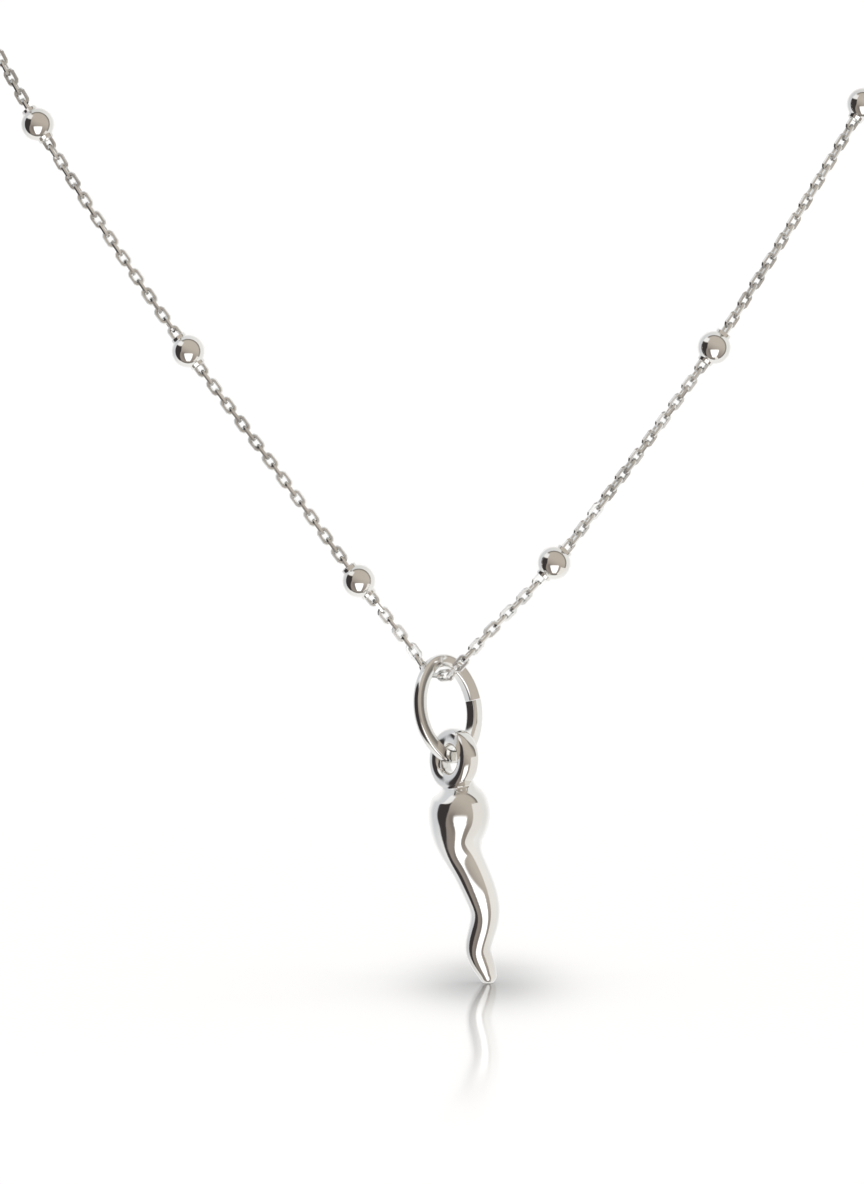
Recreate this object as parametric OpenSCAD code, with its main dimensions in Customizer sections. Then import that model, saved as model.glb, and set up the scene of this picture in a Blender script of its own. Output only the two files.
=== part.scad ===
// Silver satellite necklace with a lucky horn charm, in millimetres.
// The origin is the nape of the neck, where the clasp lies. +Z is up, the front is towards -Y,
// and the charm hangs at the lowest point of the chain.

/* [Chain] */
// Diameter of the round stand-in for the fine cable chain
chain_d = 0.62; // [0.56:0.02:0.66]
// Wire of the loop soldered to each end of the chain
end_wire_d = 0.54; // [0.5:0.02:0.56]

/* [Beads] */
// Diameter of a ball bead
bead_d = 2.08; // [1.9:0.02:2.2]
// Diameter of the collar where the chain enters a bead
collar_d = 1; // [0.96:0.02:1.1]
// How far a collar stands out of the ball
collar_proud = 0.1; // [0.06:0.02:0.14]
// Room round the chain in a bead's hole
bore_gap = 0.1; // [0.08:0.01:0.12]
// Spacing of the beads round the neck
bead_pitch = 17.5; // [17.2:0.1:17.6]

/* [Bail] */
// Height of the oval bail between the middles of its wire
bail_h = 6.1; // [6:0.02:6.2]
// Width of the oval bail between the middles of its wire
bail_w = 4.48; // [4.4:0.02:4.6]
// Radius of the wire's middle line at the top and bottom of the oval
bail_end_r = 1.6; // [1.5:0.02:1.7]
// Thickness of the bail's wire in the plane of the oval
wire_deep = 0.8; // [0.7:0.02:0.82]
// Width of the bail's wire across the plane of the oval
wire_wide = 0.8; // [0.7:0.02:0.82]
// How far the wire's back outer edge is filed away in the plane of the oval
cut_deep = 0.46; // [0.4:0.02:0.5]
// How far it is filed away across the plane of the oval
cut_wide = 0.26; // [0.2:0.02:0.3]
// How far the bail is turned about its upright axis
bail_turn = 41; // [38:1:44]
// How far the bail's foot leans to the side
bail_side_lean = 8.6; // [6:0.2:9]
// How far the bail's foot leans to the front
bail_front_lean = 5; // [4:0.1:6]

/* [Horn] */
// Radius of the eye at the middle of its wall
eye_r = 1.4; // [1.38:0.02:1.44]
// Thickness of the eye's wall between its hole and its rim
eye_wall = 1.14; // [1.1:0.02:1.16]
// Depth of the eye from front to back
eye_deep = 1.3; // [1.2:0.02:1.34]
// How far the eye is turned towards the bail's wire
eye_turn = 52; // [50:1:54]
// How far the front of the eye's hole is tipped up
eye_tip = 9; // [6:1:10]
// How far the horn leans back from the bail's wire
horn_back_lean = 6; // [4:0.1:7]

/* [Clasp] */
// Radius of the ring clasp at the middle of its wire
clasp_r = 2.2; // [2.1:0.05:2.25]
// Diameter of the clasp's wire
clasp_wire_d = 1.1; // [1:0.05:1.2]

/* [Hidden] */
beads_a_side = 12;

// The chain's middle line: [to the right, back, up] from the lowest point of the chain.
nape = [0, 112, 107];
neck_side = [
    [36.2, 11, 52.9], [42, 18.5, 64], [48, 29, 75], [53, 42, 84.5], [55.5, 56, 91.5], [55, 70, 96.5],
    [50.5, 84, 100.5], [42, 96, 103.5], [30, 105, 105.5], [16, 110.5, 106.5], [4.6, 112, 107]
];
front_right = [
    [0.75, -0.35, 0.1], [1.2, -0.65, 0.75], [2, -0.7, 1.6], [3.2, -0.5, 2.9], [7.1, 0, 7],
    [12.2, 0.6, 13.6], [17.1, 1.5, 20.4], [21.9, 2.9, 27.9], [26.4, 4.6, 35.3], [30.3, 6.8, 42.4]
];
front_left = [
    [-0.75, 0.35, 0.1], [-1.2, 0.65, 0.85], [-2, 0.7, 1.95], [-3.2, 0.5, 3.5], [-5.1, 0.2, 5.95],
    [-10.4, 0.6, 13.1], [-15.8, 1.5, 20.3], [-20.7, 2.9, 27.3], [-25.3, 4.6, 34.4], [-29.4, 6.8, 41.6]
];
half_right = concat(front_right, neck_side);
half_left = concat(front_left, [for (p = neck_side) [-p.x, p.y, p.z]]);
route = concat([for (i = [len(half_left) - 1 : -1 : 0]) half_left[i]], [[0, 0, 0]], half_right);

// Distance of each bead from the lowest point, measured along the chain.
beads_seen_left = [8.2, 26.1, 43.3];
beads_seen_right = [10.4, 27.2, 45.2];
function bead_places(seen) =
    let (last = len(seen) - 1)
    [for (i = [0 : beads_a_side - 1]) i < last ? seen[i] : seen[last] + (i - last) * bead_pitch];
places_left = bead_places(beads_seen_left);
places_right = bead_places(beads_seen_right);

// The chain is cut inside the first bead on the left, where two stretches of links really end.
cut_gap = 0.3;
straight_past_bead = 0.16;
bead_reach = bead_d / 2 + collar_proud + straight_past_bead;
bend_offsets = [-3.2, -1.8, -1.1, -0.5, 0, 0.5, 1.1, 1.8, 3.2];
chain_sides = 8;
chain_to_bail = 0.24;
bail_slip = -0.04;
route_steps = 12;

// The horn below its eye, in the horn's own frame:
// [down from the middle of the eye, across, back, width, depth]
horn_sections = [
    [1.12, 0.06, 0.00, 1.00, 1.00],
    [1.38, 0.20, 0.00, 1.80, 1.90],
    [1.64, 0.27, 0.00, 2.00, 2.70],
    [1.88, 0.31, 0.00, 2.30, 3.50],
    [2.10, 0.34, 0.00, 2.76, 3.92],
    [2.40, 0.37, 0.00, 3.34, 4.20],
    [2.76, 0.36, 0.00, 3.66, 4.38],
    [3.25, 0.35, 0.00, 3.90, 4.50],
    [3.88, 0.32, 0.03, 3.84, 4.42],
    [4.65, 0.29, 0.03, 3.52, 3.90],
    [5.41, 0.36, -0.02, 2.97, 3.24],
    [6.17, 0.60, -0.15, 2.45, 2.62],
    [6.94, 1.01, -0.35, 2.26, 2.34],
    [7.83, 1.42, -0.50, 2.18, 2.20],
    [8.72, 1.76, -0.50, 2.08, 2.08],
    [9.62, 1.96, -0.41, 1.89, 1.89],
    [10.51, 1.87, -0.20, 1.79, 1.79],
    [11.40, 1.64, 0.01, 1.72, 1.72],
    [12.16, 1.52, 0.17, 1.65, 1.65],
    [12.79, 1.69, 0.26, 1.58, 1.58],
    [13.44, 1.97, 0.34, 1.40, 1.40],
    [13.90, 2.14, 0.38, 1.14, 1.14]
];
horn_sides = 24;
horn_steps = 2;
eye_drop = 0.16;
eye_corner_r = 0.48;
// Angles of the rings that round off the tip.
tip_angles = [20, 40, 60, 80];

// The bail's seam, a little above the middle on its right side, and its wire's round corners.
seam_up = 0.3;
seam_gap = 0.03;
corner_r = 0.16;

// Loops at the ends of the chain, and the clasp they hook into: the middles of their wires.
end_loop_right_r = 0.95;
end_loop_left_r = 1.1;
clasp_eye_r = 0.95;
clasp_eye_wire_d = 0.6;
clasp_eye_x = 2.5;
clasp_ring_x = -1.2;

// One point of a smooth curve between b and c.
function between(a, b, c, d, t) =
    0.5 * (2 * b + (c - a) * t + (2 * a - 5 * b + 4 * c - d) * t ^ 2 + (3 * b - a - 3 * c + d) * t ^ 3);

// A smooth curve through every row of a list, whatever its number of columns.
function smooth(rows, steps) = concat(
    [
        for (i = [0 : len(rows) - 2], k = [0 : steps - 1])
            between(rows[max(i - 1, 0)], rows[i], rows[i + 1], rows[min(i + 2, len(rows) - 1)], k / steps)
    ],
    [rows[len(rows) - 1]]
);

// Running length of a curve at each of its points.
function running_length(p) = [
    for (i = 0, s = 0; i < len(p); s = i + 1 < len(p) ? s + norm(p[i + 1] - p[i]) : s, i = i + 1) s
];

curve = smooth(route, route_steps);
lengths = running_length(curve);
lowest = lengths[len(half_left) * route_steps];
total = lengths[len(lengths) - 1];
column = [for (c = [0 : 2]) [for (i = [0 : len(curve) - 1]) [lengths[i], curve[i][c]]]];

// The chain's middle at a distance from its lowest point, to the right where it is positive.
function at(s) = [for (c = [0 : 2]) lookup(lowest + s, column[c])];

function unit(v) = v / norm(v);

// A closed body swept along a list of middles, with the width and depth of its oval for each.
function ring_points(middle, along, size, sides, toward) =
    let (e1 = unit(cross(along, toward)) * size[0] / 2, e2 = unit(cross(along, e1)) * size[1] / 2)
    [for (k = [0 : sides - 1]) middle + e1 * cos(k * 360 / sides) + e2 * sin(k * 360 / sides)];

module swept(middles, sizes, sides, toward) {
    n = len(middles);
    rings = [
        for (i = [0 : n - 1])
            let (along = unit(middles[min(i + 1, n - 1)] - middles[max(i - 1, 0)]))
            each ring_points(middles[i], along, sizes[i], sides, toward)
    ];
    walls = [
        for (i = [0 : n - 2], k = [0 : sides - 1])
            let (a = i * sides + k, b = i * sides + (k + 1) % sides)
            each [[a, a + sides, b], [b, a + sides, b + sides]]
    ];
    end = (n - 1) * sides;
    first = [for (k = [1 : sides - 2]) [0, k, k + 1]];
    last = [for (k = [1 : sides - 2]) [end, end + k + 1, end + k]];
    polyhedron(points = rings, faces = concat(first, walls, last));
}

module torus(r, wire_d) {
    rotate_extrude($fn = 64) translate([r, 0]) circle(d = wire_d, $fn = 32);
}

// A rectangle with round corners.
module rounded(wide, tall, r) {
    x_in = wide / 2 - r;
    y_in = tall / 2 - r;
    square([2 * x_in, tall], center = true);
    square([wide, 2 * y_in], center = true);
    for (x = [-x_in, x_in], y = [-y_in, y_in]) {
        translate([x, y]) circle(r = r, $fn = 24);
    }
}

// Stations along one stretch of chain: two at each bead, one between two beads.
function stations(places, side, finish) = concat(
    [
        for (i = [0 : len(places) - 1])
            let (next = i + 1 < len(places) ? places[i + 1] : finish + bead_reach)
            each [
                side * (places[i] - bead_reach),
                side * (places[i] + bead_reach),
                side * (places[i] + next) / 2
            ]
    ],
    [side * finish]
);

module chain(stops, end_loop_r, side) {
    translate(-nape) {
        swept([for (s = stops) at(s)], [for (s = stops) [chain_d, chain_d]], chain_sides, [0, 0, 1]);
    }
    end_x = route[len(route) - 1].x;
    translate([side * (end_x - end_loop_r), 0, 0]) torus(end_loop_r, end_wire_d);
}

module chain_right() {
    start = concat([-places_left[0] + cut_gap / 2, -places_left[0] + bead_reach], bend_offsets);
    color("silver")
        chain(concat(start, stations(places_right, 1, total - lowest)), end_loop_right_r, 1);
}

module chain_left() {
    beyond_first = [for (i = [1 : beads_a_side - 1]) places_left[i]];
    start = [
        -places_left[0] - cut_gap / 2,
        -places_left[0] - bead_reach,
        -(places_left[0] + places_left[1]) / 2
    ];
    color("silver")
        chain(concat(start, stations(beyond_first, -1, lowest)), end_loop_left_r, -1);
}

// A polished ball with a collar at each end, drilled for the chain.
module bead(s) {
    from = at(s - bead_reach);
    to = at(s + bead_reach);
    dir = to - from;
    color("silver")
        translate((from + to) / 2 - nape)
            rotate([0, acos(dir.z / norm(dir)), atan2(dir.y, dir.x)])
                difference() {
                    union() {
                        sphere(d = bead_d, $fn = 48);
                        cylinder(d = collar_d, h = bead_d + 2 * collar_proud, center = true, $fn = 32);
                    }
                    cylinder(d = chain_d + 2 * bore_gap, h = 2 * bead_d, center = true, $fn = 32);
                }
}

// Section of the bail's wire: flat sides, round corners, and its back outer edge filed away.
module wire_section() {
    difference() {
        rounded(wire_deep, wire_wide, corner_r);
        translate([wire_deep / 2, -wire_wide / 2])
            polygon([[-cut_deep, 0], [0, -cut_wide], [cut_deep, 0], [0, cut_wide]]);
    }
}

// One arc of the oval: its centre, its radius, its middle direction and half its angle.
module bail_arc(centre, r, middle, half) {
    translate(centre)
        rotate([0, 0, middle - half])
            rotate_extrude(angle = 2 * half, $fn = 96) translate([r, 0]) wire_section();
}

// Places of the bail's wire at the top and bottom of the oval, from the chain's lowest point.
bail_top = [bail_slip, 0, chain_d / 2 + wire_deep / 2 + chain_to_bail];
module hang_bail() {
    translate(bail_top) rotate([-bail_front_lean, -bail_side_lean, 0]) rotate([0, 0, bail_turn]) children();
}
foot_down = bail_h * cos(bail_front_lean);
bail_foot = bail_top + [
    foot_down * sin(bail_side_lean),
    -bail_h * sin(bail_front_lean),
    -foot_down * cos(bail_side_lean)
];

module bail() {
    end_c = bail_h / 2 - bail_end_r;
    side_r = (end_c ^ 2 + (bail_w / 2) ^ 2 - bail_end_r ^ 2) / (bail_w - 2 * bail_end_r);
    side_c = side_r - bail_w / 2;
    half = atan2(end_c, side_c);
    color("silver")
        translate(-nape)
            hang_bail()
                translate([0, 0, -bail_h / 2])
                    rotate([90, 0, 0])
                        difference() {
                            union() {
                                bail_arc([0, end_c, 0], bail_end_r, 90, 90 - half);
                                bail_arc([0, -end_c, 0], bail_end_r, 270, 90 - half);
                                bail_arc([-side_c, 0, 0], side_r, 0, half);
                                bail_arc([side_c, 0, 0], side_r, 180, half);
                            }
                            translate([bail_w / 2, seam_up, 0])
                                cube([2 * wire_deep, seam_gap, 2 * wire_wide], center = true);
                        }
}

// The horn and its eye are one casting.
module horn() {
    rows = smooth(horn_sections, horn_steps);
    middles = [for (r = rows) [r[1], r[2], -r[0]]];
    n = len(middles);
    tip_dir = unit(middles[n - 1] - middles[n - 2]);
    tip_r = rows[n - 1][3] / 2;
    tip_middles = [for (a = tip_angles) middles[n - 1] + tip_dir * tip_r * sin(a)];
    tip_sizes = [for (a = tip_angles) 2 * tip_r * cos(a) * [1, 1]];
    color("silver")
        translate(bail_foot - nape)
            rotate([horn_back_lean, 0, 0])
                translate([0, 0, -eye_drop]) {
                    rotate([90 - eye_tip, 0, -eye_turn])
                        rotate_extrude($fn = 64)
                            translate([eye_r, 0]) rounded(eye_wall, eye_deep, eye_corner_r);
                    swept(
                        concat(middles, tip_middles),
                        concat([for (r = rows) [r[3], r[4]]], tip_sizes),
                        horn_sides,
                        [0, 1, 0]
                    );
                }
}

// A closed ring clasp with a small eye soldered to it, lying flat against the nape.
module clasp() {
    color("silver") {
        translate([clasp_ring_x, 0, 0]) rotate([90, 0, 0]) torus(clasp_r, clasp_wire_d);
        translate([clasp_eye_x, 0, 0]) rotate([90, 0, 0]) torus(clasp_eye_r, clasp_eye_wire_d);
    }
}

chain_left();
chain_right();
bail();
horn();
clasp();
for (i = [1 : beads_a_side]) {
    bead(-places_left[i - 1]);
    bead(places_right[i - 1]);
}
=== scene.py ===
import bisect
import math
import random

import bmesh
import bpy
from mathutils import Matrix, Vector


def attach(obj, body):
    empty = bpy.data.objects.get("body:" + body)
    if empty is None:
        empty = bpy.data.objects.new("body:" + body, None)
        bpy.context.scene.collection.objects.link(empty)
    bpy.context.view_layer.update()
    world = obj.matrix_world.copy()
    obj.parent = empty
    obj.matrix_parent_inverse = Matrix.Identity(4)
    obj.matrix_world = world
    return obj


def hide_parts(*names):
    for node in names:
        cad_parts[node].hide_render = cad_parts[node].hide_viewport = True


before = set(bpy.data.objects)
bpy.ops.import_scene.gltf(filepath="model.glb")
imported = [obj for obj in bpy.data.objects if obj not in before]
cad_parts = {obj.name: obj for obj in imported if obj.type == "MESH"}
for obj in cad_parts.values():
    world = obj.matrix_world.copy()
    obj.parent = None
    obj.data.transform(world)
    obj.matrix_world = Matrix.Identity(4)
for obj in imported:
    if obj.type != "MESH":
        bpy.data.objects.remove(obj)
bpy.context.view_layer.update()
scene = bpy.context.scene

# The camera looks at the front of the necklace from a little above through a long lens, so that
# the horn hangs just right of the middle and the chain runs out at both upper corners.
camera_rise = math.radians(5)
camera_away = 1.0
picture_height = 0.074
picture_middle = Vector((-0.0005, -0.112, -0.10175))
towards_camera = Vector((0, -math.cos(camera_rise), math.sin(camera_rise)))
camera = bpy.data.objects.new("camera", bpy.data.cameras.new("camera"))
scene.collection.objects.link(camera)
camera.location = picture_middle + camera_away * towards_camera
camera.rotation_euler = (math.pi / 2 - camera_rise, 0, 0)
camera.data.sensor_width = 36
camera.data.lens = camera.data.sensor_width * camera_away / picture_height
camera.data.clip_start, camera.data.clip_end = 0.05, 20
scene.camera = camera
scene.view_settings.view_transform = "Standard"

# The chain is a fine silver cable chain. Each link is a closed oval of wire, hooked through the
# next and turned a quarter turn to it, and its faces are cut flat so that they glint.
# The line it follows is that of part.scad: to the right, back and up from its lowest point.
# Its points are in millimetres from there, and the nape is the frame's origin.
mm = 0.001
nape = Vector((0, 112, 107))
neck_side = [
    (36.2, 11, 52.9), (42, 18.5, 64), (48, 29, 75), (53, 42, 84.5), (55.5, 56, 91.5), (55, 70, 96.5),
    (50.5, 84, 100.5), (42, 96, 103.5), (30, 105, 105.5), (16, 110.5, 106.5), (4.6, 112, 107),
]
front_right = [
    (0.75, -0.35, 0.1), (1.2, -0.65, 0.75), (2, -0.7, 1.6), (3.2, -0.5, 2.9), (7.1, 0, 7),
    (12.2, 0.6, 13.6), (17.1, 1.5, 20.4), (21.9, 2.9, 27.9), (26.4, 4.6, 35.3),
    (30.3, 6.8, 42.4),
]
front_left = [
    (-0.75, 0.35, 0.1), (-1.2, 0.65, 0.85), (-2, 0.7, 1.95), (-3.2, 0.5, 3.5), (-5.1, 0.2, 5.95),
    (-10.4, 0.6, 13.1), (-15.8, 1.5, 20.3), (-20.7, 2.9, 27.3), (-25.3, 4.6, 34.4),
    (-29.4, 6.8, 41.6),
]
route = [(-x, y, z) for x, y, z in reversed(neck_side)] + front_left[::-1]
route = route + [(0, 0, 0)] + front_right + neck_side
route = [(Vector(point) - nape) * mm for point in route]
route_steps = 12


def smooth_line(rows, steps):
    """A smooth curve through every row, with that many steps from each row to the next."""
    line = []
    for i in range(len(rows) - 1):
        a, b, c, d = (rows[min(max(i + k, 0), len(rows) - 1)] for k in (-1, 0, 1, 2))
        for k in range(steps):
            t = k / steps
            bend = (2 * a - 5 * b + 4 * c - d) * t**2 + (3 * b - a - 3 * c + d) * t**3
            line.append(0.5 * (2 * b + (c - a) * t + bend))
    return line + [rows[-1]]


chain_line = smooth_line(route, route_steps)
chain_run = [0.0]
for here, there in zip(chain_line, chain_line[1:]):
    chain_run.append(chain_run[-1] + (there - here).length)
lowest = chain_run[(len(front_left) + len(neck_side)) * route_steps]


def chain_at(s):
    """The chain's middle at a distance from its lowest point, to the right where it is positive."""
    i = min(max(bisect.bisect(chain_run, lowest + s) - 1, 0), len(chain_run) - 2)
    part = (lowest + s - chain_run[i]) / (chain_run[i + 1] - chain_run[i])
    return chain_line[i].lerp(chain_line[i + 1], part)


bead_pitch = 17.5 * mm
places_left = [8.2 * mm, 26.1 * mm] + [43.3 * mm + k * bead_pitch for k in range(10)]
places_right = [10.4 * mm, 27.2 * mm] + [45.2 * mm + k * bead_pitch for k in range(10)]

link_long, link_wide, link_wire = 1.26 * mm, 0.80 * mm, 0.26 * mm
link_steps, link_wire_sides = 12, 6
link_pitch = link_long - 2 * link_wire
link_in_bead = 1.33 * mm
base_roll = 7
most_drift, most_roll, most_lean = 12, 6, 2


def new_link():
    """One closed oval link lying flat, long in X."""
    bm = bmesh.new()
    bend = (link_wide - link_wire) / 2
    half_step = Matrix.Rotation(math.pi / link_steps, 4, "Z")
    upright = Matrix.Rotation(math.pi / 2, 4, "X") @ Matrix.Rotation(math.pi / link_wire_sides, 4, "Z")
    bmesh.ops.create_circle(
        bm, segments=link_wire_sides, radius=link_wire / 2,
        matrix=half_step @ Matrix.Translation((bend, 0, 0)) @ upright,
    )
    bmesh.ops.spin(
        bm, geom=bm.verts[:] + bm.edges[:], cent=(0, 0, 0), axis=(0, 0, 1), angle=2 * math.pi,
        steps=link_steps, use_merge=True,
    )
    stretch = (link_long - link_wide) / 2
    for side in (-1, 1):
        half = [v for v in bm.verts if v.co.x * side > 0]
        bmesh.ops.translate(bm, verts=half, vec=(side * stretch, 0, 0))
    bmesh.ops.recalc_face_normals(bm, faces=bm.faces)
    mesh = bpy.data.meshes.new("link")
    bm.to_mesh(mesh)
    bm.free()
    return mesh


link = new_link()
turned = random.Random(7)


def add_link(bm, s, roll):
    """Adds the link whose middle is at s, turned about the chain by an angle from lying flat to
    the front, and hanging a little askew."""
    before, after = chain_at(s - link_pitch / 2), chain_at(s + link_pitch / 2)
    along = (after - before).normalized()
    front = along.cross(Vector((0, 0, 1))).normalized()
    across = front.cross(along)
    axes = Matrix((along, across, front)).transposed().to_4x4()
    askew = Matrix.Rotation(math.radians(turned.uniform(-most_lean, most_lean)), 4, "Z")
    one = link.copy()
    one.transform(
        Matrix.Translation((before + after) / 2) @ axes @ Matrix.Rotation(roll, 4, "X") @ askew
    )
    bm.from_mesh(one)
    bpy.data.meshes.remove(one)


def add_links(bm, first, last, last_roll):
    """Adds the links from one middle to another, each a quarter turn from the last, with the
    slow twist and the small unevenness of a chain that hangs loosely."""
    count = math.ceil(abs(last - first) / link_pitch - 1e-6)
    drift = turned.uniform(-most_drift, most_drift)
    for i in range(count + 1):
        left = count - i
        roll = last_roll + 90 * (left % 2) + drift * left / count
        roll += turned.uniform(-most_roll, most_roll)
        add_link(bm, first + (last - first) * i / count, math.radians(roll))


def add_ring(bm, middle, radius, wire, axes, steps=32, sides=12):
    """Adds a closed ring of round wire whose own axis is the Z of axes."""
    made = bmesh.ops.create_circle(bm, segments=sides, radius=wire / 2)
    upright = Matrix.Translation((radius, 0, 0)) @ Matrix.Rotation(math.pi / 2, 4, "X")
    bmesh.ops.transform(
        bm, verts=made["verts"], matrix=Matrix.Translation(middle) @ axes @ upright
    )
    edges = list({e for v in made["verts"] for e in v.link_edges})
    before = set(bm.faces)
    bmesh.ops.spin(
        bm, geom=made["verts"] + edges, cent=middle, axis=axes.to_3x3() @ Vector((0, 0, 1)),
        angle=2 * math.pi, steps=steps, use_merge=True,
    )
    ring = [f for f in bm.faces if f not in before]
    bmesh.ops.recalc_face_normals(bm, faces=ring)
    for face in ring:
        face.smooth = True


class Shade:
    """A socket of a shader, so that shader maths reads as plain maths."""

    def __init__(self, tree, socket=None):
        self.tree, self.socket = tree, socket

    def node(self, kind, settings, values, out=0):
        """A new node: its settings first, then the values or links of its sockets."""
        made = self.tree.nodes.new(kind)
        for name, value in settings.items():
            if name == "stops":
                for _ in value[2:]:
                    made.color_ramp.elements.new(0.5)
                for element, (place, colour) in zip(made.color_ramp.elements, value):
                    element.position, element.color = place, (*colour, 1)
            else:
                setattr(made, name, value)
        for name, value in values.items():
            if isinstance(value, Shade):
                self.tree.links.new(value.socket, made.inputs[name])
            else:
                made.inputs[name].default_value = value
        return Shade(self.tree, made.outputs[out] if made.outputs else None)

    def sum(self, operation, first, second=0.0):
        return self.node("ShaderNodeMath", {"operation": operation}, {0: first, 1: second})

    def mix(self, first, second, share):
        """A colour between two colours."""
        first, second = (c if isinstance(c, Shade) else (*c, 1) for c in (first, second))
        return self.node(
            "ShaderNodeMix", {"data_type": "RGBA"}, {0: share, 6: first, 7: second}, out=2
        )

    def step(self, low, high):
        """0 where this is below low, 1 above high, and smooth between them."""
        return self.node(
            "ShaderNodeMapRange", {"interpolation_type": "SMOOTHSTEP"},
            {"Value": self, "From Min": low, "From Max": high},
        )

    def __add__(self, other):
        return self.sum("ADD", self, other)

    def __sub__(self, other):
        return self.sum("SUBTRACT", self, other)

    def __mul__(self, other):
        return self.sum("MULTIPLY", self, other)

    def __rsub__(self, other):
        return self.sum("SUBTRACT", other, self)

    __radd__, __rmul__ = __add__, __mul__


def silver(name, polish, smudge, bright, dull, grain):
    """Polished silver: polish is its roughness, smudge how much that varies, and grain the size
    of the marks that handling and the polishing wheel leave."""
    material = bpy.data.materials.new(name)
    material.use_nodes = True
    tree = material.node_tree
    shader = tree.nodes["Principled BSDF"]
    shader.inputs["Metallic"].default_value = 1
    start = Shade(tree)
    place = start.node("ShaderNodeTexCoord", {}, {}, out=3)
    marks = start.node(
        "ShaderNodeTexNoise", {}, {"Vector": place, "Scale": 0.25 / grain, "Detail": 3.0}
    )
    fine = start.node(
        "ShaderNodeTexNoise", {}, {"Vector": place, "Scale": 2.5 / grain, "Detail": 2.0}
    )
    tree.links.new(
        start.mix(bright, dull, marks.step(0.35, 0.75)).socket, shader.inputs["Base Color"]
    )
    tree.links.new((polish + smudge * marks * fine).socket, shader.inputs["Roughness"])
    bumps = start.node(
        "ShaderNodeBump", {}, {"Strength": 0.15, "Distance": grain / 150, "Height": fine}
    )
    tree.links.new(bumps.socket, shader.inputs["Normal"])
    return material


def finish_piece(bm, name, material, body, slot, *nodes):
    """Makes an object of the finished bmesh, hangs it under the empty of its body and hides the CAD
    nodes it stands for.
    """
    mesh = bpy.data.meshes.new(name)
    bm.to_mesh(mesh)
    bm.free()
    mesh.materials.append(material)
    piece = bpy.data.objects.new(name, mesh)
    scene.collection.objects.link(piece)
    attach(piece, body)
    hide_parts(*nodes)
    return piece


chain_silver = silver(
    "chain silver", 0.16, 0.24, (0.93, 0.935, 0.93), (0.73, 0.735, 0.73), 0.6 * mm
)
# A round loop of thicker wire ends the chain on each side and hooks into the clasp.
end_wire = 0.30 * mm
end_link = 0.22 * mm
end_loop_right, end_loop_left = (3.65 * mm, 0.95 * mm), (-3.5 * mm, 1.1 * mm)
flat = Matrix.Identity(4)
for name, stops, end, (loop_x, loop_r), node in (
    ("links_right", [-places_left[0]] + places_right, chain_run[-1] - lowest, end_loop_right,
     "chain_right"),
    ("links_left", [-s for s in places_left], -lowest, end_loop_left, "chain_left"),
):
    bm = bmesh.new()
    side = 1 if end > 0 else -1
    for here, there in zip(stops, stops[1:]):
        add_links(bm, here + side * link_in_bead, there - side * link_in_bead, base_roll * side)
    add_links(bm, stops[-1] + side * link_in_bead, end - side * end_link, 0)
    add_ring(bm, Vector((loop_x, 0, 0)), loop_r, end_wire, flat)
    finish_piece(bm, name, chain_silver, "necklace", "chain", node)
bpy.data.meshes.remove(link)

# The ball beads are hollow silver balls, polished like mirrors, with a collar rolled round the
# hole at each end. The last link on each side goes into the hole.
bead_r, collar_r, hole_r = 1.04 * mm, 0.5 * mm, 0.41 * mm
bead_half, lip = 1.14 * mm, 0.035 * mm
bead_reach = 1.30 * mm
bead_arc_steps, bead_turns = 14, 48
crease = math.radians(50)
bead_silver = silver("bead silver", 0.05, 0.10, (0.92, 0.91, 0.89), (0.84, 0.82, 0.79), 0.8 * mm)


def new_bead(s):
    """A bead at a place on the chain, spun from half its section."""
    bm = bmesh.new()
    arc_from = math.asin((collar_r + lip) / bead_r)
    half = [
        (hole_r, 0), (hole_r, bead_half - lip), (hole_r + lip, bead_half),
        (collar_r - lip, bead_half), (collar_r, bead_half - lip),
        (collar_r, bead_r * math.cos(arc_from) + lip),
    ]
    for k in range(bead_arc_steps + 1):
        turn = arc_from + (math.pi / 2 - arc_from) * k / bead_arc_steps
        half.append((bead_r * math.sin(turn), bead_r * math.cos(turn)))
    section = half + [(r, -z) for r, z in half[-2:0:-1]]
    verts = [bm.verts.new((r, 0, z)) for r, z in section]
    for here, there in zip(verts, verts[1:] + verts[:1]):
        bm.edges.new((here, there))
    bmesh.ops.spin(
        bm, geom=bm.verts[:] + bm.edges[:], cent=(0, 0, 0), axis=(0, 0, 1), angle=2 * math.pi,
        steps=bead_turns, use_merge=True,
    )
    bmesh.ops.recalc_face_normals(bm, faces=bm.faces)
    for face in bm.faces:
        face.smooth = True
    before, after = chain_at(s - bead_reach), chain_at(s + bead_reach)
    turn = Vector((0, 0, 1)).rotation_difference(after - before).to_matrix().to_4x4()
    bmesh.ops.transform(
        bm, verts=bm.verts, matrix=Matrix.Translation((before + after) / 2) @ turn
    )
    return bm


for side, places in (("left", places_left), ("right", places_right)):
    for i, s in enumerate(places, 1):
        ball = finish_piece(
            new_bead(-s if side == "left" else s), f"ball_{side}_{i}", bead_silver, "necklace",
            "beads", f"bead_{side}_{i}",
        )
        ball.data.set_sharp_from_angle(angle=crease)

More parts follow.
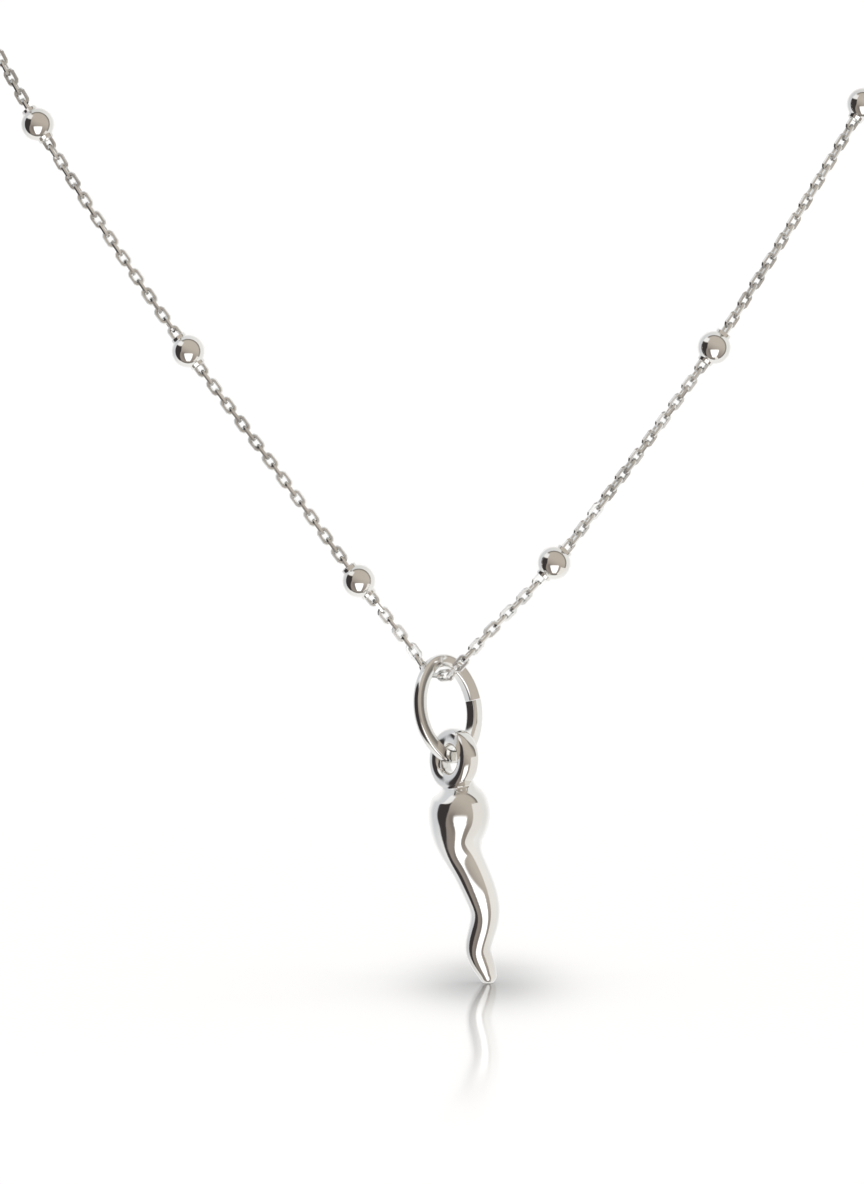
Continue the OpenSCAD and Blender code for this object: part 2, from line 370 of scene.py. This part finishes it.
# The bail is an oval jump ring of square silver wire with rounded corners, bent round a former and
# pushed shut, and its back outer edge is filed away. Its seam shows on the right, where the wire's
# two ends don't quite line up. Angles are in degrees.
bail_h, bail_w, bail_end_r = 6.1 * mm, 4.48 * mm, 1.6 * mm
wire_deep, wire_wide, corner_r = 0.8 * mm, 0.8 * mm, 0.16 * mm
cut_deep, cut_wide = 0.46 * mm, 0.26 * mm
seam_up, seam_gap = 0.3 * mm, 0.03 * mm
twist_above, twist_left, twist_foot, twist_below = 8, -3, -14, -4
bail_turn, bail_side_lean, bail_front_lean = 41, 8.6, 5
bail_top = (Vector((-0.04, 0, 0.95)) - nape) * mm
hang_bail = (
    Matrix.Translation(bail_top)
    @ Matrix.Rotation(math.radians(-bail_side_lean), 4, "Y")
    @ Matrix.Rotation(math.radians(-bail_front_lean), 4, "X")
    @ Matrix.Rotation(math.radians(bail_turn), 4, "Z")
    @ Matrix.Translation((0, 0, -bail_h / 2))
    @ Matrix.Rotation(math.pi / 2, 4, "X")
)
end_middle = bail_h / 2 - bail_end_r
side_r = (end_middle**2 + (bail_w / 2) ** 2 - bail_end_r**2) / (bail_w - 2 * bail_end_r)
side_middle = side_r - bail_w / 2
half_side = math.atan2(end_middle, side_middle)
seam_turn = math.asin((seam_up + seam_gap / 2) / side_r)
foot_turn = math.asin((seam_up - seam_gap / 2) / side_r)


def round_section(corners, r):
    """A new mesh of the outline of a section, given its corners, with each of them rounded."""
    bm = bmesh.new()
    made = [bm.verts.new((x, y, 0)) for x, y in corners]
    bm.faces.new(made)
    bmesh.ops.bevel(
        bm, geom=made, offset=r, segments=5, profile=0.5, affect="VERTICES", material=-1
    )
    bmesh.ops.delete(bm, geom=bm.faces[:], context="FACES_ONLY")
    return bm


half_deep, half_wide = wire_deep / 2, wire_wide / 2
bm = round_section([
    (-half_deep, -half_wide), (half_deep - cut_deep, -half_wide), (half_deep, -half_wide + cut_wide),
    (half_deep, half_wide), (-half_deep, half_wide),
], corner_r)
upper_end = Vector((side_r * math.cos(seam_turn) - side_middle, side_r * math.sin(seam_turn), 0))
bmesh.ops.transform(
    bm, verts=bm.verts,
    matrix=Matrix.Translation(upper_end)
    @ Matrix.Rotation(seam_turn, 4, "Z")
    @ Matrix.Rotation(math.pi / 2, 4, "X")
    @ Matrix.Rotation(math.radians(twist_above), 4, "Z"),
)
section, ring = upper_end, bm.verts[:] + bm.edges[:]
# Each arc has its middle, the angle it turns through, its steps and the wire's own twist along it.
arcs = (
    ((-side_middle, 0, 0), half_side - seam_turn, 14, 0),
    ((0, end_middle, 0), math.pi - 2 * half_side, 26, 0),
    ((side_middle, 0, 0), 2 * half_side, 32, twist_left),
    ((0, -end_middle, 0), math.pi - 2 * half_side, 26, twist_foot),
    ((-side_middle, 0, 0), half_side + foot_turn, 18, twist_below),
)
for middle, turn, steps, twist in arcs:
    for _ in range(steps):
        grown = bmesh.ops.spin(
            bm, geom=ring, cent=middle, axis=(0, 0, 1), angle=turn / steps, steps=1, use_merge=False
        )
        ring = grown["geom_last"]
        spoke = Matrix.Rotation(turn / steps, 3, "Z") @ (section - Vector(middle))
        section = Vector(middle) + spoke
        bmesh.ops.rotate(
            bm, verts=[v for v in ring if isinstance(v, bmesh.types.BMVert)], cent=section,
            matrix=Matrix.Rotation(
                -math.radians(twist) / steps, 3, Vector((0, 0, 1)).cross(spoke)
            ),
        )
bmesh.ops.holes_fill(bm, edges=[e for e in bm.edges if e.is_boundary], sides=0)
bmesh.ops.recalc_face_normals(bm, faces=bm.faces)
for face in bm.faces:
    face.smooth = True
bmesh.ops.transform(bm, verts=bm.verts, matrix=hang_bail)
bail_silver = silver("bail silver", 0.06, 0.12, (0.91, 0.905, 0.89), (0.82, 0.805, 0.78), 1.2 * mm)
bail = finish_piece(bm, "bail_ring", bail_silver, "bail", "bail", "bail")
bail.data.set_sharp_from_angle(angle=crease)

# The horn is a solid silver casting with its eye on top, filed smooth and polished. It is fattest
# below the eye and tapers in a slow double bend to a blunt tip.
# Each row is a ring of the horn, in millimetres: how far it lies below the middle of the eye, to
# the right of it and behind it, and its width and depth.
horn_rows = [
    (1.12, 0.06, 0.00, 1.00, 1.00), (1.38, 0.20, 0.00, 1.80, 1.90),
    (1.64, 0.27, 0.00, 2.00, 2.70), (1.88, 0.31, 0.00, 2.30, 3.50),
    (2.10, 0.34, 0.00, 2.76, 3.92), (2.40, 0.37, 0.00, 3.34, 4.20),
    (2.76, 0.36, 0.00, 3.66, 4.38), (3.25, 0.35, 0.00, 3.90, 4.50),
    (3.88, 0.32, 0.03, 3.84, 4.42), (4.65, 0.29, 0.03, 3.52, 3.90),
    (5.41, 0.36, -0.02, 2.97, 3.24), (6.17, 0.60, -0.15, 2.45, 2.62),
    (6.94, 1.01, -0.35, 2.26, 2.34), (7.83, 1.42, -0.50, 2.18, 2.20),
    (8.72, 1.76, -0.50, 2.08, 2.08), (9.62, 1.96, -0.41, 1.89, 1.89),
    (10.51, 1.87, -0.20, 1.79, 1.79), (11.40, 1.64, 0.01, 1.72, 1.72),
    (12.16, 1.52, 0.17, 1.65, 1.65), (12.79, 1.69, 0.26, 1.58, 1.58),
    (13.44, 1.97, 0.34, 1.40, 1.40), (13.90, 2.14, 0.38, 1.14, 1.14),
]
horn_sides, horn_row_steps, eye_steps = 24, 2, 64
tip_turns = (20, 40, 60, 80)
eye_r, eye_wall, eye_deep, eye_corner_r = 1.4 * mm, 1.14 * mm, 1.3 * mm, 0.48 * mm
eye_turn, eye_tip = math.radians(52), math.radians(-9)
horn_back_lean, eye_drop = math.radians(6), 0.16 * mm
bail_foot = hang_bail @ Vector((0, -bail_h / 2, 0))
hang_horn = (
    Matrix.Translation(bail_foot)
    @ Matrix.Rotation(horn_back_lean, 4, "X")
    @ Matrix.Translation((0, 0, -eye_drop))
)

half_wall, half_deep = eye_wall / 2, eye_deep / 2
bm = round_section([
    (-half_wall, -half_deep), (half_wall, -half_deep), (half_wall, half_deep), (-half_wall, half_deep)
], eye_corner_r)
upright = Matrix.Translation((eye_r, 0, 0)) @ Matrix.Rotation(math.pi / 2, 4, "X")
bmesh.ops.transform(bm, verts=bm.verts, matrix=upright)
bmesh.ops.spin(
    bm, geom=bm.verts[:] + bm.edges[:], cent=(0, 0, 0), axis=(0, 0, 1), angle=2 * math.pi,
    steps=eye_steps, use_merge=True,
)
eye_axes = Matrix.Rotation(-eye_turn, 4, "Z") @ Matrix.Rotation(math.pi / 2 + eye_tip, 4, "X")
bmesh.ops.transform(bm, verts=bm.verts, matrix=eye_axes)
rows = [row * mm for row in smooth_line([Vector(row) for row in horn_rows], horn_row_steps)]
middles = [Vector((row[1], row[2], -row[0])) for row in rows]
sizes = [(row[3], row[4]) for row in rows]
tip_way = (middles[-1] - middles[-2]).normalized()
tip_r = sizes[-1][0] / 2
for turn in tip_turns:
    middles.append(middles[len(rows) - 1] + tip_way * tip_r * math.sin(math.radians(turn)))
    sizes.append([2 * tip_r * math.cos(math.radians(turn))] * 2)
circle = bmesh.ops.create_circle(bm, cap_ends=True, segments=horn_sides, radius=1)
ring = circle["verts"]
placed = Matrix.Identity(4)
for i, (middle, (wide, deep)) in enumerate(zip(middles, sizes)):
    along = (middles[min(i + 1, len(middles) - 1)] - middles[max(i - 1, 0)]).normalized()
    side_on = Vector((0, 1, 0)).cross(along).normalized()
    axes = Matrix((side_on, along.cross(side_on), along)).transposed().to_4x4()
    place = Matrix.Translation(middle) @ axes @ Matrix.Diagonal((wide / 2, deep / 2, 1, 1))
    if i:
        edges = list({e for v in ring for e in v.link_edges if e.other_vert(v) in ring})
        grown = bmesh.ops.extrude_edge_only(bm, edges=edges)
        ring = [v for v in grown["geom"] if isinstance(v, bmesh.types.BMVert)]
    bmesh.ops.transform(bm, verts=ring, matrix=place @ placed.inverted())
    placed = place
bmesh.ops.contextual_create(bm, geom=list({e for v in ring for e in v.link_edges if e.is_boundary}))
bmesh.ops.recalc_face_normals(bm, faces=bm.faces)
for face in bm.faces:
    face.smooth = True
bmesh.ops.transform(bm, verts=bm.verts, matrix=hang_horn)
horn_silver = silver("horn silver", 0.06, 0.12, (0.91, 0.905, 0.89), (0.82, 0.805, 0.78), 1.5 * mm)
horn = finish_piece(bm, "horn_casting", horn_silver, "horn", "horn", "horn")
# The eye and the horn run into each other as one casting, and filing rounds the corner between.
casting_grain, filing_strokes = 0.055 * mm, 12
rounding = horn.modifiers.new("rounding", "SUBSURF")
rounding.levels = rounding.render_levels = 2
casting = horn.modifiers.new("casting", "REMESH")
casting.mode, casting.voxel_size, casting.use_smooth_shade = "VOXEL", casting_grain, True
filing = horn.modifiers.new("filing", "SMOOTH")
filing.factor, filing.iterations = 0.5, filing_strokes

# The clasp is a closed ring of thicker tube with a small eye soldered to its right. The end loops
# of the chain hook into the eye and the ring.
clasp_x, clasp_r, clasp_tube = -1.2 * mm, 2.2 * mm, 1.1 * mm
clasp_eye_x, clasp_eye_r, clasp_eye_wire = 2.5 * mm, 0.95 * mm, 0.6 * mm
clasp_silver = silver("clasp silver", 0.08, 0.15, (0.94, 0.93, 0.91), (0.84, 0.82, 0.79), 1.5 * mm)
standing = Matrix.Rotation(math.pi / 2, 4, "X")
bm = bmesh.new()
add_ring(bm, Vector((clasp_x, 0, 0)), clasp_r, clasp_tube, standing, steps=64, sides=24)
add_ring(
    bm, Vector((clasp_eye_x, 0, 0)), clasp_eye_r, clasp_eye_wire, standing, steps=40, sides=16
)
finish_piece(bm, "ring_clasp", clasp_silver, "necklace", "clasp", "clasp")

# The floor is matt white board just under the tip of the horn, polished a little where the horn's
# reflection shows, with a soft shadow painted into its colour under the charm: a painted pool of
# shade.
floor_z, floor_half = -126.45 * mm, 4
foot = Vector((2.8 * mm, -112 * mm, floor_z))
board_white, painted_shadow_grey = (0.778, 0.785, 0.793), (0.307, 0.31, 0.313)
painted_shadow_wide, painted_shadow_deep = 2.75 * mm, 8.6 * mm
most_shine, shine_wide = 0.36, 5 * mm
shine_ahead, shine_behind = (16 * mm, 80 * mm), (4 * mm, 15 * mm)
bm = bmesh.new()
bmesh.ops.create_grid(bm, x_segments=1, y_segments=1, size=floor_half)
bmesh.ops.translate(bm, verts=bm.verts, vec=(0, 0, floor_z))
floor_mesh = bpy.data.meshes.new("floor")
bm.to_mesh(floor_mesh)
bm.free()
floor = bpy.data.objects.new("floor", floor_mesh)
scene.collection.objects.link(floor)
floor_white = bpy.data.materials.new("floor white")
floor_white.use_nodes = True
tree = floor_white.node_tree
tree.nodes.clear()
start = Shade(tree)
place = start.node("ShaderNodeTexCoord", {}, {}, out=3)
apart = start.node("ShaderNodeVectorMath", {"operation": "SUBTRACT"}, {0: place, 1: foot})
# Painted shadow: the board's colour turns grey in a soft oval round the foot of the horn.
painted_shadow = start.node(
    "ShaderNodeVectorMath", {"operation": "MULTIPLY"},
    {0: apart, 1: (1 / painted_shadow_wide, 1 / painted_shadow_deep, 0)},
)
painted_shadow = start.node("ShaderNodeVectorMath", {"operation": "LENGTH"}, {0: painted_shadow}, out=1)
painted_shadow = start.sum("EXPONENT", painted_shadow * painted_shadow * -0.5)
board = start.mix(board_white, painted_shadow_grey, painted_shadow)
behind = start.node("ShaderNodeSeparateXYZ", {}, {0: apart}, out=1)
aside = start.node("ShaderNodeSeparateXYZ", {}, {0: apart}) * (1 / shine_wide)
shine = start.sum("EXPONENT", aside * aside * -0.5)
shine = shine * (most_shine - most_shine * (behind * -1).step(*shine_ahead))
shine = shine * (1 - behind.step(*shine_behind))
matt = start.node("ShaderNodeBsdfDiffuse", {}, {"Color": board})
gloss = start.node("ShaderNodeBsdfGlossy", {}, {"Color": (1, 1, 1, 1), "Roughness": 0.075})
both = start.node("ShaderNodeMixShader", {}, {0: shine, 1: matt, 2: gloss})
start.node("ShaderNodeOutputMaterial", {}, {"Surface": both})
floor_mesh.materials.append(floor_white)
floor.visible_glossy = False
floor.visible_shadow = False

# The light is a white tent behind the necklace, open towards the camera, where the silver mirrors
# the warm dim room, a white board high on the left, a black flag below it and a softbox low in
# front. The camera itself sees plain white.
world = bpy.data.worlds.new("light tent")
scene.world = world
world.use_nodes = True
tree = world.node_tree
tree.nodes.clear()
start = Shade(tree)
way = start.node("ShaderNodeTexCoord", {}, {}, out=0)
camera_up = Vector((0, math.sin(camera_rise), math.cos(camera_rise)))


def share_of(axis):
    """How far the light's direction points along an axis."""
    return start.node("ShaderNodeVectorMath", {"operation": "DOT_PRODUCT"}, {0: way, 1: axis}, out=1)


near, right, up = share_of(towards_camera), share_of((1, 0, 0)), share_of(camera_up)
turn = start.sum("ARCTAN2", right, near) * (180 / math.pi)
height = start.sum("ARCSINE", up) * (180 / math.pi)


def panel(turn_from, turn_to, height_from, height_to, soft):
    """A panel seen from the necklace: degrees to the right of the camera, and above it."""
    wide = turn.step(turn_from - soft, turn_from + soft)
    wide = wide * (1 - turn.step(turn_to - soft, turn_to + soft))
    tall = height.step(height_from - soft, height_from + soft)
    return wide * tall * (1 - height.step(height_to - soft, height_to + soft))


tent = start.mix((0.68, 0.695, 0.72), (0.86, 0.855, 0.83), right.step(-1, 1))
tent = start.mix(tent, (0.93, 0.92, 0.90), (up * -1).step(0.2, 0.9))
tent = start.mix(tent, (1.0, 1.0, 1.0), (near * -1).step(0.55, 0.95))
room = start.mix((0.30, 0.265, 0.235), (0.55, 0.495, 0.435), (up + 0.5 * right).step(-0.8, 0.6))
room = start.mix(room, (0.17, 0.16, 0.14), 1 - near.step(-0.06, 0.22))
light = start.mix(tent, room, near.step(-0.11, -0.07))
white_board = panel(-101, -50, 32, 58, 4)
slanted_edge = 1 - (turn - 0.6 * height).step(-52, -46)
black_flag = panel(-101, -48, -50, 30, 3) * slanted_edge
dark_corner = 0.5 * panel(-46, -20, -60, -8, 8)
softbox = panel(-27, 34, -74, -17, 5)
light = start.mix(light, (0.95, 0.95, 0.95), white_board)
light = start.mix(light, (0.045, 0.04, 0.04), black_flag)
light = start.mix(light, (0.15, 0.13, 0.12), dark_corner)
light = start.mix(light, (1.5, 1.5, 1.5), softbox)
seen = start.node("ShaderNodeLightPath", {}, {})
light = start.mix(light, (1.0, 1.0, 1.0), seen)
light = start.node("ShaderNodeBackground", {}, {"Color": light})
start.node("ShaderNodeOutputWorld", {}, {"Surface": light})

# A white card stands beside the horn on the right, glowing by itself and seen only in reflections, and
# a wide soft lamp overhead lights the floor.
card_size, card_middle = (20 * mm, 57 * mm, 1), Vector((25, -116, -137)) * mm
card_turn = math.radians(80)
bm = bmesh.new()
bmesh.ops.create_grid(bm, x_segments=1, y_segments=1, size=0.5)
bmesh.ops.scale(bm, verts=bm.verts, vec=card_size)
bmesh.ops.transform(
    bm, verts=bm.verts,
    matrix=Matrix.Translation(card_middle)
    @ Matrix.Rotation(card_turn, 4, "Z")
    @ Matrix.Rotation(math.pi / 2, 4, "X"),
)
card_mesh = bpy.data.meshes.new("white card")
bm.to_mesh(card_mesh)
bm.free()
card = bpy.data.objects.new("white card", card_mesh)
scene.collection.objects.link(card)
card_glow = bpy.data.materials.new("card glow")
card_glow.use_nodes = True
shader = card_glow.node_tree.nodes["Principled BSDF"]
shader.inputs["Base Color"].default_value = (0, 0, 0, 1)
shader.inputs["Specular IOR Level"].default_value = 0
# The card's white is its own glow, not light falling on it: it shines like a lamp in the silver.
shader.inputs["Emission Color"].default_value = (0.88, 0.86, 0.82, 1)
shader.inputs["Emission Strength"].default_value = 1
card_mesh.materials.append(card_glow)
card.visible_camera = card.visible_shadow = card.visible_diffuse = False
lamp = bpy.data.objects.new("overhead lamp", bpy.data.lights.new("overhead lamp", "SUN"))
scene.collection.objects.link(lamp)
lamp.data.energy = 2.2
lamp.data.angle = math.radians(80)
lamp.visible_glossy = False
